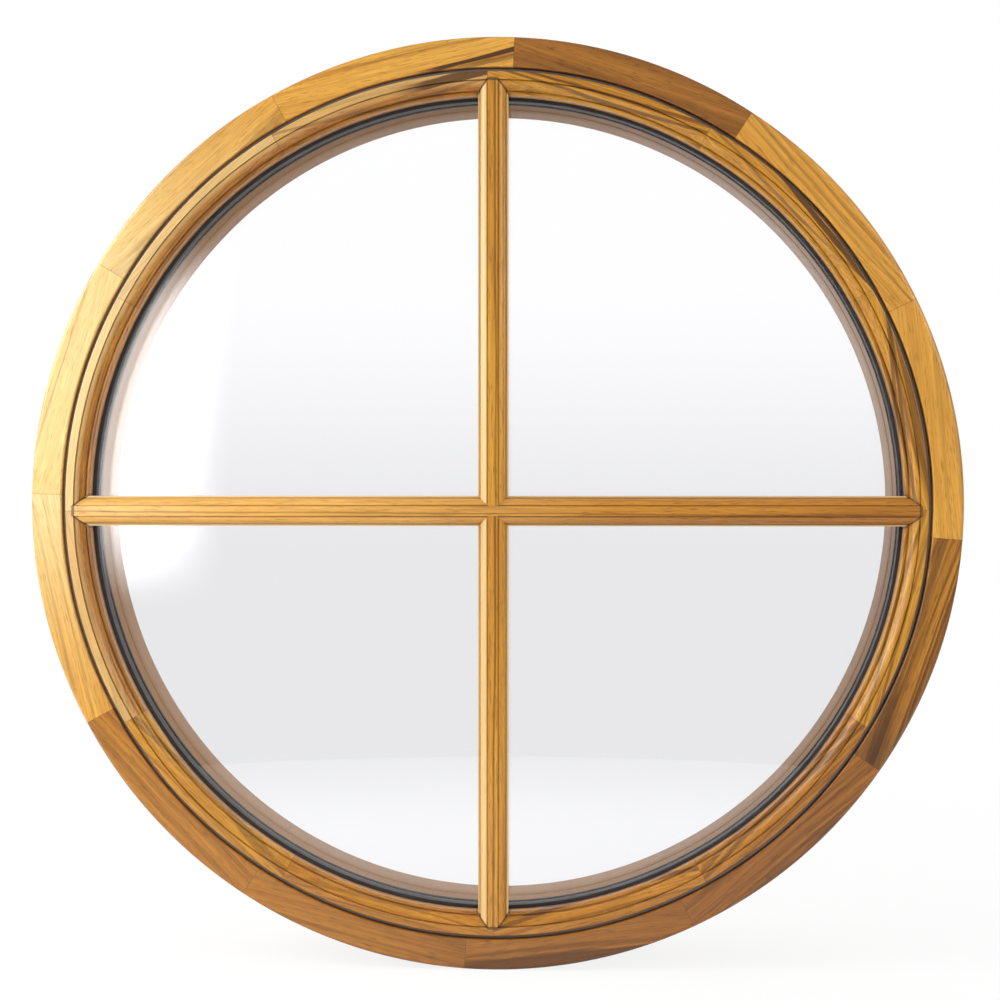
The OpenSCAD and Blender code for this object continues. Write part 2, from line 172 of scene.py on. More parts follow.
# A pattern in the wood: its length along the grain and its width across it in mm, and its noise's detail
Pattern = namedtuple("Pattern", "length width detail")
RING_WANDER = Pattern(140, 40, 2.0)
BROAD_TINT = Pattern(200, 14, 3.0)
FINE_LINES = Pattern(110, 1.5, 3.0)
FIBRES = Pattern(30, 0.9, 3.0)
MINERAL_STREAKS = Pattern(240, 5, 3.0)
RAGGED_EDGES = Pattern(60, 6, 3.0)
# Pores are drawn coarser than real ones, so that they show
PORES = Pattern(10, 0.7, 1.0)
# How far the rings wander, how far apart two boards lie in the patterns, and how deep fibres stand out
WANDER_REACH = 9.0
BOARD_STEP = 137.0
FIBRE_RELIEF = 0.12 * MM

# A soft stripe across a distance: its centre, its half width and its soft edge in mm, and its strength
Stripe = namedtuple("Stripe", "centre half soft strength")
# Dark joint lines with painted contact shadow around the bars' scribed ends, and thin glue lines in the
# joints at both ends of a segment
SCRIBE_JOINT_AND_SHADOW = Stripe(TIP_R + 0.3, 0.5, 1.0, 0.8)
JOINT_LINE = Stripe(0.0, 0.1, 0.3, 0.45)
# Pale stripes along the bars' edges: thin pale arrises on both edges, partly painted light that lifts
# the shade in the edge strips, and a wide stripe of painted light along the left edge of the upright
# bars, where the light falls from the left
LEVEL_PAINTED_EDGES = (Stripe(BAR_HALF, 1.2, 0.4, 0.6), Stripe(-BAR_HALF, 1.2, 0.4, 0.6))
UPRIGHT_PAINTED_EDGES = (Stripe(BAR_HALF, 1.2, 0.4, 0.6), Stripe(-BAR_HALF, 5.2, 1.4, 0.55))

# A dark band of heartwood in a board: its place across the grain, its half width and its soft edge in
# mm, how dark it is, how much it falls towards the board's clockwise end, in degrees, and where it
# starts to show, in mm along the board from its middle
Band = namedtuple("Band", "place half soft dark fall start", defaults=(None,))
BAND_FADE = 30.0
# How far a band's edge wavers, as a share of its soft edge
BAND_WAVER = 4.0
# A change to another tone, and where it starts and ends, in mm along the board from its middle
Change = namedtuple("Change", "tone start end")
# How one board was sawn: its tone, how much its grain falls to the clockwise end in degrees, the spacing
# of its rings in mm, how strong its figure is, how much streak it shows, its bands, where the pith
# lay, in mm behind and outside the middle of its face, how much painted sheen pales its face, and
# its change of tone
Board = namedtuple("Board", "tone fall rings figure streaks bands pith sap change",
                   defaults=((), (40.0, 95.0), 0.0, None))
# A board sawn flat, with its pith straight behind, shows its rings along the mouldings
FLAT_SAWN = (70.0, 4.0)

# Both rings' boards run clockwise from the top
FRAME_BOARDS = (
    Board("russet", 1, 4.5, 0.5, 0.10, (Band(-16, 4, 5, 0.22, 0), Band(6, 3, 4, 0.15, 4))),
    Board("honey", 0, 3.6, 0.8, 0.10, (Band(-3, 0.4, 1, 0.30, 1), Band(3, 0.4, 1, 0.25, 0))),
    Board("honey", 5, 6.0, 0.5, 0.05, (Band(10, 4, 4, 0.30, 3), Band(-2, 0.5, 1.5, 0.20, 6))),
    Board("amber", 1, 3.6, 0.9, 0.30, (
        Band(5.5, 0.6, 1, 0.65, 0), Band(2.4, 0.4, 0.8, 0.55, 0), Band(8.5, 0.8, 1.2, 0.50, 0),
        Band(-11, 2.6, 2, 0.60, -1), Band(-3, 0.5, 1, 0.35, 1)), change=Change("brown", 10, 70)),
    Board("russet", 0, 3.8, 0.7, 0.15, (
        Band(9.5, 3.2, 3, 0.60, 0), Band(3.4, 0.5, 1, 0.50, 0), Band(-0.5, 0.4, 1, 0.35, 1),
        Band(-12, 0.6, 1.2, 0.35, 0))),
    Board("russet", 3, 5.0, 0.7, 0.15, (Band(8.5, 6.5, 2.5, 0.70, 5), Band(-2.5, 0.5, 1.5, 0.35, 5))),
    Board("russet", -4, 4.2, 0.6, 0.15, (Band(-17, 3, 5, 0.22, 0), Band(2, 0.5, 2, 0.25, -4)),
          change=Change("amber", -80, 80)),
    Board("amber", 0, 3.8, 0.7, 0.20, (Band(1, 0.6, 2, 0.25, 0), Band(-7, 1.5, 3, 0.20, -3))),
    # The three frame boards at the left turn pale: painted sheen where the light falls from the left
    Board("honey", 0, 4.6, 0.5, 0.05, (Band(2, 0.4, 1, 0.25, 1), Band(-6, 0.4, 1, 0.20, 0)),
          change=Change("pale", -80, 100)),
    Board("straw", 1, 6.0, 0.3, 0.05, (Band(3.5, 0.3, 0.8, 0.30, 2),), change=Change("pale", -160, 160)),
    Board("pale", 2, 5.5, 0.5, 0.05, (Band(9, 2, 3, 0.25, 4), Band(-15, 2, 3, 0.25, 0)),
          change=Change("honey", -80, 80)),
    Board("honey", 0, 3.4, 0.7, 0.10, (
        Band(-10.2, 1.2, 1, 0.95, -0.7, 5), Band(-14, 0.8, 1.5, 0.50, -0.7, 30), Band(4, 0.4, 1, 0.25, 1))),
)
SASH_BOARDS = (
    Board("golden", 3, 3.0, 1.0, 0.35, (Band(-4, 0.5, 0.8, 0.65, 3), Band(0.5, 0.5, 0.8, 0.60, 2))),
    Board("golden", 0, 3.4, 0.8, 0.20, (Band(4, 1.6, 1, 0.85, 6), Band(-3, 0.4, 0.8, 0.45, 0))),
    Board("golden", 1, 4.0, 0.9, 0.40, (
        Band(4, 2.6, 1.5, 0.60, 2), Band(-5, 0.6, 0.6, 0.65, 6), Band(-9, 0.7, 0.6, 0.60, 8))),
    Board("golden", 0, 3.2, 1.0, 0.20, (Band(0.8, 0.4, 0.8, 0.50, 0), Band(-6, 0.4, 0.8, 0.50, 0))),
    Board("amber", 0, 3.2, 0.9, 0.30, (
        Band(-6, 0.9, 0.8, 0.60, 0), Band(-9.5, 0.6, 0.8, 0.45, 0), Band(3, 0.5, 0.8, 0.45, 1))),
    Board("amber", 0, 3.4, 0.7, 0.15, (Band(-1, 0.4, 0.8, 0.40, 0), Band(-10, 1.0, 1, 0.60, -2))),
    Board("amber", 0, 3.4, 0.6, 0.15, (Band(2.4, 0.4, 0.8, 0.40, 0), Band(-5, 0.4, 0.8, 0.35, 0))),
    Board("golden", 0, 3.2, 0.7, 0.15, (Band(-8, 1.2, 1.5, 0.45, 1), Band(1, 0.4, 0.8, 0.40, 0))),
    # The four sash boards at the left carry painted sheen on their faces, where the light falls from the left
    Board("amber", 0, 3.6, 0.9, 0.10, (), FLAT_SAWN, 0.42),
    Board("amber", 0, 3.8, 1.0, 0.05, (), FLAT_SAWN, 0.65),
    Board("amber", 0, 3.6, 1.0, 0.05, (), FLAT_SAWN, 0.6),
    Board("amber", 0, 3.4, 0.8, 0.15, (
        Band(0.8, 2.2, 1.2, 0.88, 3, -10), Band(-6, 0.6, 1, 0.45, 2)), sap=0.4),
)
BAR_BOARDS = {
    # The level bar is painted pale at its left end and darker to the right: painted light falling off from
    # the left
    "horizontal_bar": Board("straw", 0.4, 2.8, 0.3, 0.05, (Band(-1.6, 0.3, 0.5, 0.45, 0.3),),
                            change=Change("amber", -120, 80)),
    "vertical_bar_upper": Board("golden", -0.3, 2.8, 0.4, 0.10, (Band(2.2, 0.4, 0.6, 0.55, -0.2),)),
    "vertical_bar_lower": Board("golden", 0.4, 2.8, 0.4, 0.10, (Band(1.8, 0.4, 0.6, 0.60, 0.3),)),
}
# How a bar lies: its clockwise turn, its middle's distance from the axis, its middle line and its edges
# of painted light
LEVEL = (0.0, BAR_MIDDLE, ACROSS_HORIZONTAL, LEVEL_PAINTED_EDGES)
UPRIGHT = (90.0, 0.0, ACROSS_VERTICAL, UPRIGHT_PAINTED_EDGES)
# Where each group of boards starts in the patterns, so that no two boards look alike
FRAME_SEED = 1
SASH_SEED = 21
BAR_SEED = 41
BEAD_SEED = 51
PLUG_SEED = 61

# A board's material as it is built: its tree, the place on it, its clockwise turn and its middle's radius
Wood = namedtuple("Wood", "tree place turn middle")


def board_axes(wood, fall=0.0, shift=0.0):
    """Millimetres in the board's own axes: x along the grain, y towards the rear, z across the face."""
    return add(wood.tree, "ShaderNodeMapping", {
        "Vector": wood.place,
        "Location": (shift, 0.0, -wood.middle * PER_MM),
        "Rotation": (0.0, -math.radians(wood.turn + fall), 0.0),
        "Scale": (PER_MM, PER_MM, PER_MM),
    }).outputs[0]


def stretched(tree, grain, pattern):
    """Noise drawn out along the grain to the size of a pattern."""
    scale = (1 / pattern.length, 1 / pattern.width, 1 / pattern.width)
    scaled = add(tree, "ShaderNodeVectorMath", {0: grain, 1: scale}, operation="MULTIPLY").outputs[0]
    noise = add(tree, "ShaderNodeTexNoise", {"Vector": scaled, "Scale": 1.0, "Detail": pattern.detail})
    return noise.outputs[0]


def stripe_share(tree, distance, stripe):
    """How much of a stripe shows at a distance."""
    off = add(tree, "ShaderNodeMath", {0: distance, 1: stripe.centre}, operation="SUBTRACT").outputs[0]
    far = add(tree, "ShaderNodeMath", {0: off}, operation="ABSOLUTE").outputs[0]
    return add(tree, "ShaderNodeMapRange", {
        "Value": far, "From Min": stripe.half, "From Max": stripe.half + stripe.soft,
        "To Min": stripe.strength, "To Max": 0.0,
    }, interpolation_type="SMOOTHSTEP").outputs[0]


def layered(tree, colour, layers):
    """Stains laid over a colour one after another, each by its share."""
    for share, stain in layers:
        laid = add(tree, "ShaderNodeMix", {0: share, 6: colour, 7: stain}, data_type="RGBA")
        colour = laid.outputs[2]
    return colour


def board_tones(wood, board):
    """Early wood, middle colour and late wood of a board, with its change of tone."""
    tones = [linear(c) for c in TONES[board.tone]]
    if not board.change:
        return tones
    along = add(wood.tree, "ShaderNodeSeparateXYZ", {0: board_axes(wood)}).outputs[0]
    changed = add(wood.tree, "ShaderNodeMapRange", {
        "Value": along, "From Min": board.change.start, "From Max": board.change.end,
    }).outputs[0]
    far_tones = [linear(c) for c in TONES[board.change.tone]]
    return [layered(wood.tree, tone, [(changed, far)]) for tone, far in zip(tones, far_tones)]


def late_wood(tree, grain, board):
    """Share of late wood, which darkens slowly through each ring around the pith and ends sharply."""
    wander = stretched(tree, grain, RING_WANDER)
    behind, outside = board.pith
    section = add(tree, "ShaderNodeVectorMath", {
        0: grain, 1: (0.0, 1.0, 1.0), 2: (0.0, -behind, -outside),
    }, operation="MULTIPLY_ADD").outputs[0]
    reach = add(tree, "ShaderNodeVectorMath", {0: section}, operation="LENGTH").outputs[1]
    bent = add(tree, "ShaderNodeMath", {0: wander, 1: WANDER_REACH, 2: reach},
               operation="MULTIPLY_ADD").outputs[0]
    count = add(tree, "ShaderNodeMath", {0: bent, 1: board.rings}, operation="DIVIDE").outputs[0]
    phase = add(tree, "ShaderNodeMath", {0: count}, operation="FRACT").outputs[0]
    rise = add(tree, "ShaderNodeMapRange", {"Value": phase, "From Min": 0.2, "From Max": 0.88}).outputs[0]
    drop = add(tree, "ShaderNodeMapRange", {
        "Value": phase, "From Min": 0.90, "From Max": 1.0, "To Min": 1.0, "To Max": 0.0,
    }).outputs[0]
    late = add(tree, "ShaderNodeMath", {0: rise, 1: drop}, operation="MULTIPLY").outputs[0]
    # Some rings are darker than others
    ring = add(tree, "ShaderNodeMath", {0: count}, operation="FLOOR").outputs[0]
    ring_tone = add(tree, "ShaderNodeTexWhiteNoise", {"W": ring}, noise_dimensions="1D").outputs["Value"]
    level = add(tree, "ShaderNodeMapRange", {
        "Value": ring_tone, "To Min": 0.10 * board.figure, "To Max": 0.70 * board.figure,
    }).outputs[0]
    return add(tree, "ShaderNodeMath", {0: late, 1: level}, operation="MULTIPLY").outputs[0]


def heart_bands(wood, grain, bands):
    """Share of each dark band of heartwood, with ragged edges."""
    tree = wood.tree
    ragged = stretched(tree, grain, RAGGED_EDGES)
    shares = []
    for band in bands:
        along, _, across = add(tree, "ShaderNodeSeparateXYZ", {0: board_axes(wood, band.fall)}).outputs
        waver = BAND_WAVER * band.soft
        level = add(tree, "ShaderNodeMath", {0: ragged, 1: waver, 2: across},
                    operation="MULTIPLY_ADD").outputs[0]
        # The noise has its middle at a half, so the band is moved by half of the waver
        stripe = Stripe(band.place + waver / 2, band.half, band.soft, band.dark)
        share = stripe_share(tree, level, stripe)
        if band.start is not None:
            shown = add(tree, "ShaderNodeMapRange", {
                "Value": along, "From Min": band.start, "From Max": band.start + BAND_FADE,
            }, interpolation_type="SMOOTHSTEP").outputs[0]
            share = add(tree, "ShaderNodeMath", {0: share, 1: shown}, operation="MULTIPLY").outputs[0]
        shares.append(share)
    return shares


def painted_sheen_face(wood, sap, fine, band_shares):
    """Share and colour of the painted sheen on a board's face, pale with fine lines, and none on its bands.
    """
    tree = wood.tree
    deep = add(tree, "ShaderNodeSeparateXYZ", {0: wood.place}).outputs[1]
    share = add(tree, "ShaderNodeMapRange", {
        "Value": deep, "From Min": FRONT + PAINTED_SHEEN_DEPTH, "From Max": FRONT + 2 * PAINTED_SHEEN_DEPTH,
        "To Min": sap, "To Max": 0.0,
    }).outputs[0]
    for band_share in band_shares:
        kept = add(tree, "ShaderNodeMath", {0: 1.0, 1: band_share}, operation="SUBTRACT").outputs[0]
        share = add(tree, "ShaderNodeMath", {0: share, 1: kept}, operation="MULTIPLY").outputs[0]
    return share, layered(tree, PAINTED_PALE_TONES[0], [(fine, PAINTED_PALE_TONES[1])])


def bar_layers(tree, place, radius, bar, edges):
    """Painted light along a bar's edges, and its dark joint line and painted shadow around its scribed ends.
    """
    direction, distance = bar
    across = add(tree, "ShaderNodeVectorMath", {0: place, 1: direction}, operation="DOT_PRODUCT").outputs[1]
    off = add(tree, "ShaderNodeMath", {0: across, 1: distance}, operation="SUBTRACT").outputs[0]
    side = add(tree, "ShaderNodeMath", {0: off}, operation="ABSOLUTE").outputs[0]
    past = add(tree, "ShaderNodeMath", {0: side, 1: TIP_HALF}, operation="SUBTRACT").outputs[0]
    past = add(tree, "ShaderNodeMath", {0: past, 1: 0.0}, operation="MAXIMUM").outputs[0]
    reach = add(tree, "ShaderNodeMath", {0: past, 1: SCRIBE_SLOPE, 2: radius},
                operation="MULTIPLY_ADD").outputs[0]
    # Stripes of painted light along the bar's edges
    pale = [(stripe_share(tree, off, edge), PAINTED_PALE_TONES[0]) for edge in edges]
    # The dark joint line with painted contact shadow around the bar's end
    return pale + [(stripe_share(tree, reach, SCRIBE_JOINT_AND_SHADOW), GLUE_AND_SHADOW_TONE)]


def joint_layer(tree, place, turn):
    """The thin glue line in a joint at a clockwise turn."""
    turned = add(tree, "ShaderNodeMapping", {
        "Vector": place,
        "Rotation": (0.0, -math.radians(turn), 0.0),
        "Scale": (PER_MM, PER_MM, PER_MM),
    }).outputs[0]
    away = add(tree, "ShaderNodeSeparateXYZ", {0: turned}).outputs[0]
    return stripe_share(tree, away, JOINT_LINE), GLUE_AND_SHADOW_TONE


def teak(name, board, turn, middle, seed, joints=(), bare_within=None, bars=(), edges=()):
    """Solid teak whose grain runs along the chord at a clockwise turn from the top.

    It is bare inside a radius from the window's axis, where one is given. Dark joint lines with painted
    contact shadow run around the ends of the bars given, on the bars and on the sash. A bar is painted
    pale along the edges given, as stripes of painted light off its middle line.
    """
    material, tree, output = new_material(name)
    place = add(tree, "ShaderNodeTexCoord").outputs["Object"]
    wood = Wood(tree, place, turn, middle)
    grain = board_axes(wood, board.fall, BOARD_STEP * seed)
    light, body, dark = board_tones(wood, board)

    # Broad bands of colour, late wood, long fine lines, mineral streaks and pores
    tint = stretched(tree, grain, BROAD_TINT)
    tint_share = add(tree, "ShaderNodeMapRange", {
        "Value": tint, "From Min": 0.32, "From Max": 0.68,
    }).outputs[0]
    fine = stretched(tree, grain, FINE_LINES)
    fine_share = add(tree, "ShaderNodeMapRange", {
        "Value": fine, "From Min": 0.50, "From Max": 0.72, "To Max": 0.60 * board.figure,
    }).outputs[0]
    streak = stretched(tree, grain, MINERAL_STREAKS)
    streak_share = add(tree, "ShaderNodeMapRange", {
        "Value": streak,
        "From Min": 0.66 - 0.16 * board.streaks,
        "From Max": 0.80 - 0.14 * board.streaks,
        "To Max": 0.75,
    }).outputs[0]
    pore_noise = stretched(tree, grain, PORES)
    pore = add(tree, "ShaderNodeMapRange", {
        "Value": pore_noise, "From Min": 0.58, "From Max": 0.70,
    }).outputs[0]
    pore_share = add(tree, "ShaderNodeMath", {0: pore, 1: 0.55}, operation="MULTIPLY").outputs[0]
    band_shares = heart_bands(wood, grain, board.bands)
    layers = [
        (tint_share, body), (late_wood(tree, grain, board), dark), (fine_share, dark),
        (streak_share, dark), (pore_share, dark),
    ]
    layers += [(share, HEART) for share in band_shares]
    # Painted sheen pales the face of a board that carries it
    if board.sap:
        layers.append(painted_sheen_face(wood, board.sap, fine, band_shares))
    colour = layered(tree, light, layers)

    # Short fibres lighten and darken all of it
    fibre = stretched(tree, grain, FIBRES)
    fibre_level = add(tree, "ShaderNodeMapRange", {
        "Value": fibre, "From Min": 0.3, "From Max": 0.7, "To Min": 0.86, "To Max": 1.11,
    }).outputs[0]
    colour = add(tree, "ShaderNodeVectorMath", {0: colour, "Scale": fibre_level},
                 operation="SCALE").outputs[0]

    # What joinery adds: the bare reveal, painted light on the bars' edges, joint lines and painted
    # shadow around the bars' ends, and the glue lines
    face_place = add(tree, "ShaderNodeVectorMath", {0: place, 1: (PER_MM, 0.0, PER_MM)},
                     operation="MULTIPLY").outputs[0]
    radius = add(tree, "ShaderNodeVectorMath", {0: face_place}, operation="LENGTH").outputs[1]
    layers = []
    if bare_within:
        inside = add(tree, "ShaderNodeMath", {0: radius, 1: bare_within * PER_MM},
                     operation="LESS_THAN").outputs[0]
        layers.append((inside, layered(tree, BARE[0], [(fine, BARE[1])])))
    for bar in bars:
        layers += bar_layers(tree, place, radius, bar, edges)
    layers += [joint_layer(tree, place, joint) for joint in joints]
    colour = layered(tree, colour, layers)

    # Oiled wood with a thin satin coat, duller in its open pores
    roughness = add(tree, "ShaderNodeMapRange", {"Value": pore, "To Min": 0.42, "To Max": 0.60}).outputs[0]
    relief = add(tree, "ShaderNodeMath", {0: pore, 1: -0.6, 2: fibre}, operation="MULTIPLY_ADD").outputs[0]
    bump = add(tree, "ShaderNodeBump", {
        "Height": relief, "Strength": 0.2, "Distance": FIBRE_RELIEF,
    }).outputs[0]
    shader = add(tree, "ShaderNodeBsdfPrincipled", {
        "Base Color": colour, "Roughness": roughness, "Normal": bump,
        "Specular IOR Level": 0.2, "Coat Weight": 0.6, "Coat Roughness": 0.24,
    })
    tree.links.new(shader.outputs[0], output.inputs["Surface"])
    return material


def moulded(name, colour, roughness, patch, grit, depth, shine=0.15):
    """Extruded or moulded rubber, plastic, sealant or foam: one colour with soft patches, and a fine grain.

    The patches' and the grain's sizes and the grain's depth are in mm. Its shine is a specular level.
    """
    material, tree, output = new_material(name)
    place = add(tree, "ShaderNodeTexCoord").outputs["Object"]
    bloom = add(tree, "ShaderNodeTexNoise", {
        "Vector": place, "Scale": PER_MM / patch, "Detail": 3.0,
    }).outputs[0]
    level = add(tree, "ShaderNodeMapRange", {"Value": bloom, "To Min": 0.7, "To Max": 1.3}).outputs[0]
    tint = add(tree, "ShaderNodeVectorMath", {0: linear(colour)[:3], "Scale": level},
               operation="SCALE").outputs[0]
    grain = add(tree, "ShaderNodeTexNoise", {
        "Vector": place, "Scale": PER_MM / grit, "Detail": 2.0,
    }).outputs[0]
    bump = add(tree, "ShaderNodeBump", {"Height": grain, "Strength": 0.3, "Distance": depth * MM}).outputs[0]
    dull = add(tree, "ShaderNodeMapRange", {
        "Value": bloom, "To Min": roughness - 0.06, "To Max": roughness + 0.06,
    }).outputs[0]
    shader = add(tree, "ShaderNodeBsdfPrincipled", {
        "Base Color": tint, "Roughness": dull, "Specular IOR Level": shine, "Normal": bump,
    })
    tree.links.new(shader.outputs[0], output.inputs["Surface"])
    return material


# Ray flecks in beech, in mm: their width and their length
FLECK_WIDTH = 0.5
FLECK_LENGTH = 3


def beech(name):
    """Bare steamed beech: even pinkish tan with short darker ray flecks."""
    material, tree, output = new_material(name)
    place = add(tree, "ShaderNodeTexCoord").outputs["Object"]
    fleck_scale = (PER_MM / FLECK_WIDTH, PER_MM / FLECK_LENGTH, PER_MM / FLECK_WIDTH)
    along = add(tree, "ShaderNodeVectorMath", {0: place, 1: fleck_scale}, operation="MULTIPLY").outputs[0]
    fleck = add(tree, "ShaderNodeTexNoise", {"Vector": along, "Scale": 1.0, "Detail": 1.0}).outputs[0]
    share = add(tree, "ShaderNodeMapRange", {"Value": fleck, "From Min": 0.52, "From Max": 0.66}).outputs[0]
    colour = layered(tree, linear("#d9b184"), [(share, linear("#b98555"))])
    bump = add(tree, "ShaderNodeBump", {"Height": fleck, "Strength": 0.3, "Distance": 0.1 * MM}).outputs[0]
    shader = add(tree, "ShaderNodeBsdfPrincipled", {
        "Base Color": colour, "Roughness": 0.62, "IOR": 1.5, "Normal": bump,
    })
    tree.links.new(shader.outputs[0], output.inputs["Surface"])
    return material


# Tool marks on steel, drawn coarser than real ones: their spacing and their depth
MARK_SPACING = 0.4
MARK_DEPTH = 0.02 * MM


def drawn_steel(name, colour, roughness):
    """Bright drawn or turned steel with fine tool marks, which spread its shine."""
    material, tree, output = new_material(name)
    place = add(tree, "ShaderNodeTexCoord").outputs["Object"]
    marks = add(tree, "ShaderNodeTexNoise", {
        "Vector": place, "Scale": PER_MM / MARK_SPACING, "Detail": 2.0,
    }).outputs[0]
    dull = add(tree, "ShaderNodeMapRange", {
        "Value": marks, "To Min": roughness - 0.1, "To Max": roughness + 0.1,
    }).outputs[0]
    level = add(tree, "ShaderNodeMapRange", {"Value": marks, "To Min": 0.85, "To Max": 1.1}).outputs[0]
    tint = add(tree, "ShaderNodeVectorMath", {0: linear(colour)[:3], "Scale": level},
               operation="SCALE").outputs[0]
    bump = add(tree, "ShaderNodeBump", {"Height": marks, "Strength": 0.2, "Distance": MARK_DEPTH}).outputs[0]
    shader = add(tree, "ShaderNodeBsdfPrincipled", {
        "Base Color": tint, "Roughness": dull, "Metallic": 1.0, "Normal": bump,
    })
    tree.links.new(shader.outputs[0], output.inputs["Surface"])
    return material


def float_glass():
    """Clear float glass, flat and polished; light passes it without caustics."""
    material, tree, output = new_material("clear_float_glass")
    shader = add(tree, "ShaderNodeBsdfPrincipled", {
        "Base Color": linear("#fdfdfe"), "Roughness": 0.0, "IOR": 1.52, "Transmission Weight": 1.0,
    })
    clear = add(tree, "ShaderNodeBsdfTransparent", {"Color": linear("#f6f7f7")})
    shadow = add(tree, "ShaderNodeLightPath").outputs["Is Shadow Ray"]
    mixed = add(tree, "ShaderNodeMixShader", {0: shadow, 1: shader.outputs[0], 2: clear.outputs[0]})
    tree.links.new(mixed.outputs[0], output.inputs["Surface"])
    return material


# Wood: both rings, the bars, the glazing beads and the plugs over the screws
frame_turns = joint_turns(FRAME_JOINT_TURN, FRAME_SHIFTS)
sash_turns = joint_turns(SASH_JOINT_TURN, SASH_SHIFTS)
for index in range(SEGMENTS):
    number = f"{index + 1:02d}"
    ends = frame_turns[index:index + 2]
    dress(f"frame_segment_{number}", teak(
        f"oiled_teak_frame_{number}", FRAME_BOARDS[index], sum(ends) / 2, FRAME_MIDDLE, FRAME_SEED + index,
        joints=ends, bare_within=REVEAL_R))
    ends = sash_turns[index:index + 2]
    dress(f"sash_segment_{number}", teak(
        f"oiled_teak_sash_{number}", SASH_BOARDS[index], sum(ends) / 2, SASH_MIDDLE, SASH_SEED + index,
        joints=ends, bars=(ACROSS_HORIZONTAL, ACROSS_VERTICAL)))
for index, (bar_name, board) in enumerate(BAR_BOARDS.items()):
    turn, middle, own_line, edges = LEVEL if bar_name == "horizontal_bar" else UPRIGHT
    dress(bar_name, teak(
        f"oiled_teak_{bar_name}", board, turn, middle, BAR_SEED + index, bars=(own_line,), edges=edges))
for index in range(BEADS):
    number = f"{index + 1:02d}"
    turn = BEAD_FIRST_TURN - BEAD_TURN * index
    dress(f"glazing_bead_{number}", teak(
        f"bare_teak_bead_{number}", FRAME_BOARDS[index], turn, SASH_MIDDLE, BEAD_SEED + index,
        bare_within=FRAME_R))
dress("screw_plugs", teak("oiled_teak_plugs", FRAME_BOARDS[1], 0.0, 0.0, PLUG_SEED))
joint_beech = beech("steamed_beech")
for name in ("frame_tongues", "sash_tongues", "end_dowels", "crossing_dowel"):
    dress(name, joint_beech)

# Glass, and the rubber, plastic, sealant and foam around it
glass = float_glass()
for name in ("front_pane", "rear_pane"):
    dress(name, glass)
gasket_rubber = moulded("extruded_gasket_rubber", "#2e2825", roughness=0.6, patch=12, grit=0.5, depth=0.05)
for name in ("front_gasket", "rear_gasket"):
    dress(name, gasket_rubber)
dress("perimeter_seal", moulded(
    "extruded_seal_rubber", "#80766f", roughness=0.6, patch=12, grit=0.5, depth=0.05))
dress("bedding_seal", moulded(
    "closed_cell_bedding_foam", "#a58a68", roughness=0.9, patch=8, grit=0.6, depth=0.25))
dress("spacer", moulded(
    "extruded_spacer_plastic", "#0d0c0b", roughness=0.4, patch=20, grit=0.8, depth=0.05, shine=0.25))
dress("edge_sealant", moulded(
    "trowelled_edge_sealant", "#141414", roughness=0.5, patch=6, grit=3.0, depth=0.4))
dress("setting_blocks", moulded(
    "moulded_block_plastic", "#2b2b2d", roughness=0.5, patch=10, grit=0.4, depth=0.04))
dress("bar_tapes", moulded(
    "foam_bonding_tape", "#1a1a1b", roughness=0.85, patch=5, grit=0.4, depth=0.15))


def size_tree(name, sizes):
    """A Geometry Nodes tree with a named input for each size, its inputs' outputs and their identifiers."""
    tree = bpy.data.node_groups.new(name, "GeometryNodeTree")
    tree.interface.new_socket("Mesh", in_out="OUTPUT", socket_type="NodeSocketGeometry")
    keys = {}
    for size in sizes:
        socket = tree.interface.new_socket(size, in_out="INPUT", socket_type="NodeSocketFloat")
        keys[size] = socket.identifier
    return tree, add(tree, "NodeGroupInput").outputs, keys


def turned_rod(tree, length, radius_at, sides, rings):
    """A rod along Z from the origin, whose radius at each height comes from a function of that height."""
    blank = add(tree, "GeometryNodeMeshCone", {
        "Vertices": sides, "Side Segments": rings, "Radius Top": 1.0, "Radius Bottom": 1.0, "Depth": length,
    }, fill_type="NGON").outputs["Mesh"]
    place = add(tree, "GeometryNodeInputPosition").outputs[0]
    height = add(tree, "ShaderNodeSeparateXYZ", {0: place}).outputs[2]
    radius = radius_at(height)
    scale = add(tree, "ShaderNodeCombineXYZ", {0: radius, 1: radius, 2: 1.0}).outputs[0]
    turned = add(tree, "ShaderNodeVectorMath", {0: place, 1: scale}, operation="MULTIPLY").outputs[0]
    return add(tree, "GeometryNodeSetPosition", {"Geometry": blank, "Position": turned}).outputs[0]


def around_ring(tree, piece, count, size, rotation, material):
    """Copies of a piece around the window's axis, as one mesh: turns run counter-clockwise from the right."""
    circle = add(tree, "GeometryNodeMeshCircle", {"Vertices": count, "Radius": size["Ring Radius"]})
    spin = add(tree, "ShaderNodeCombineXYZ", {0: math.pi / 2, 1: size["First Turn"], 2: 0.0}).outputs[0]
    shift = add(tree, "ShaderNodeCombineXYZ", {0: 0.0, 1: size["Level"], 2: 0.0}).outputs[0]
    points = add(tree, "GeometryNodeTransform", {
        "Geometry": circle.outputs["Mesh"], "Rotation": spin, "Translation": shift,
    })
    copies = add(tree, "GeometryNodeInstanceOnPoints", {
        "Points": points.outputs[0], "Instance": piece, "Rotation": rotation,
    }).outputs[0]
    real = add(tree, "GeometryNodeRealizeInstances", {"Geometry": copies}).outputs[0]
    finished = add(tree, "GeometryNodeSetMaterial", {"Geometry": real, "Material": material}).outputs[0]
    add(tree, "NodeGroupOutput", {0: finished})


